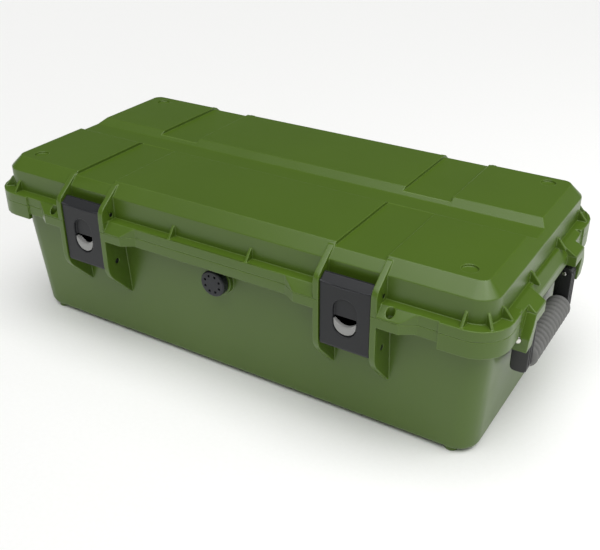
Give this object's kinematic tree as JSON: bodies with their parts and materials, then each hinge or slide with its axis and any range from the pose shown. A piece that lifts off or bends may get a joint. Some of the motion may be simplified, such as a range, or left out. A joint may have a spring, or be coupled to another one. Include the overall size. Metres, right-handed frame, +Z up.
{
  "type": "hard equipment case",
  "caption": "Long moulded hard case with a sealed hinged lid, push-button latches, fold-down end handles and an air valve.",
  "frame": {"origin": "bottom centre of the closed case's box, on the plane its feet stand on", "axes": "+Z up, latches face -Y, hinges at +Y, long side along X, right handle at +X"},
  "size_m": [0.584, 0.2882, 0.1844],
  "materials": {
    "shell_plastic": "fine moulded texture",
    "valve_plastic": "satin",
    "latch_plastic": "fine moulded texture",
    "trigger_plastic": "satin",
    "handle_plastic": "satin",
    "grip_rubber": "soft matte",
    "seal_rubber": "matte",
    "vent_membrane": "matte",
    "steel": "polished ends"
  },
  "bodies": {
    "base": {"base_shell": "shell_plastic", "hinge_pin_left": "steel", "hinge_pin_right": "steel", "latch_pin_left": "steel", "latch_pin_right": "steel", "handle_pin_left_front": "steel", "handle_pin_left_rear": "steel", "handle_pin_right_front": "steel", "handle_pin_right_rear": "steel", "valve_body": "valve_plastic", "valve_nut": "valve_plastic", "valve_o_ring": "seal_rubber", "valve_membrane": "vent_membrane"},
    "lid": {"lid_shell": "shell_plastic", "lid_gasket": "seal_rubber", "catch_bar_left": "steel", "catch_bar_right": "steel"},
    "latch_left": {"latch_lever_left": "latch_plastic", "trigger_pin_left": "steel", "trigger_spring_left": "steel"},
    "latch_right": {"latch_lever_right": "latch_plastic", "trigger_pin_right": "steel", "trigger_spring_right": "steel"},
    "trigger_left": {"latch_trigger_left": "trigger_plastic"},
    "trigger_right": {"latch_trigger_right": "trigger_plastic"},
    "handle_left": {"handle_frame_left": "handle_plastic", "handle_grip_left": "grip_rubber"},
    "handle_right": {"handle_frame_right": "handle_plastic", "handle_grip_right": "grip_rubber"}
  },
  "joints": [
    {"name": "lid_hinge", "type": "hinge", "parent": "base", "child": "lid", "pos_m": [0, 0.1379, 0.141], "axis": [-1, 0, 0], "range_deg": [0, 110]},
    {"name": "latch_left_pivot", "type": "hinge", "parent": "base", "child": "latch_left", "pos_m": [-0.1495, -0.13, 0.104], "axis": [1, 0, 0], "range_deg": [0, 105]},
    {"name": "trigger_left_press", "type": "hinge", "parent": "latch_left", "child": "trigger_left", "pos_m": [-0.1495, -0.1346, 0.138], "axis": [1, 0, 0], "range_deg": [0, 6], "stiffness_Nm_per_rad": 0.8, "springref_deg": -6.88},
    {"name": "handle_left_swing", "type": "hinge", "parent": "base", "child": "handle_left", "pos_m": [-0.28, 0, 0.118], "axis": [0, 1, 0], "range_deg": [0, 100]},
    {"name": "latch_right_pivot", "type": "hinge", "parent": "base", "child": "latch_right", "pos_m": [0.1495, -0.13, 0.104], "axis": [1, 0, 0], "range_deg": [0, 105]},
    {"name": "trigger_right_press", "type": "hinge", "parent": "latch_right", "child": "trigger_right", "pos_m": [0.1495, -0.1346, 0.138], "axis": [1, 0, 0], "range_deg": [0, 6], "stiffness_Nm_per_rad": 0.8, "springref_deg": -6.88},
    {"name": "handle_right_swing", "type": "hinge", "parent": "base", "child": "handle_right", "pos_m": [0.28, 0, 0.118], "axis": [0, -1, 0], "range_deg": [0, 100]}
  ]
}
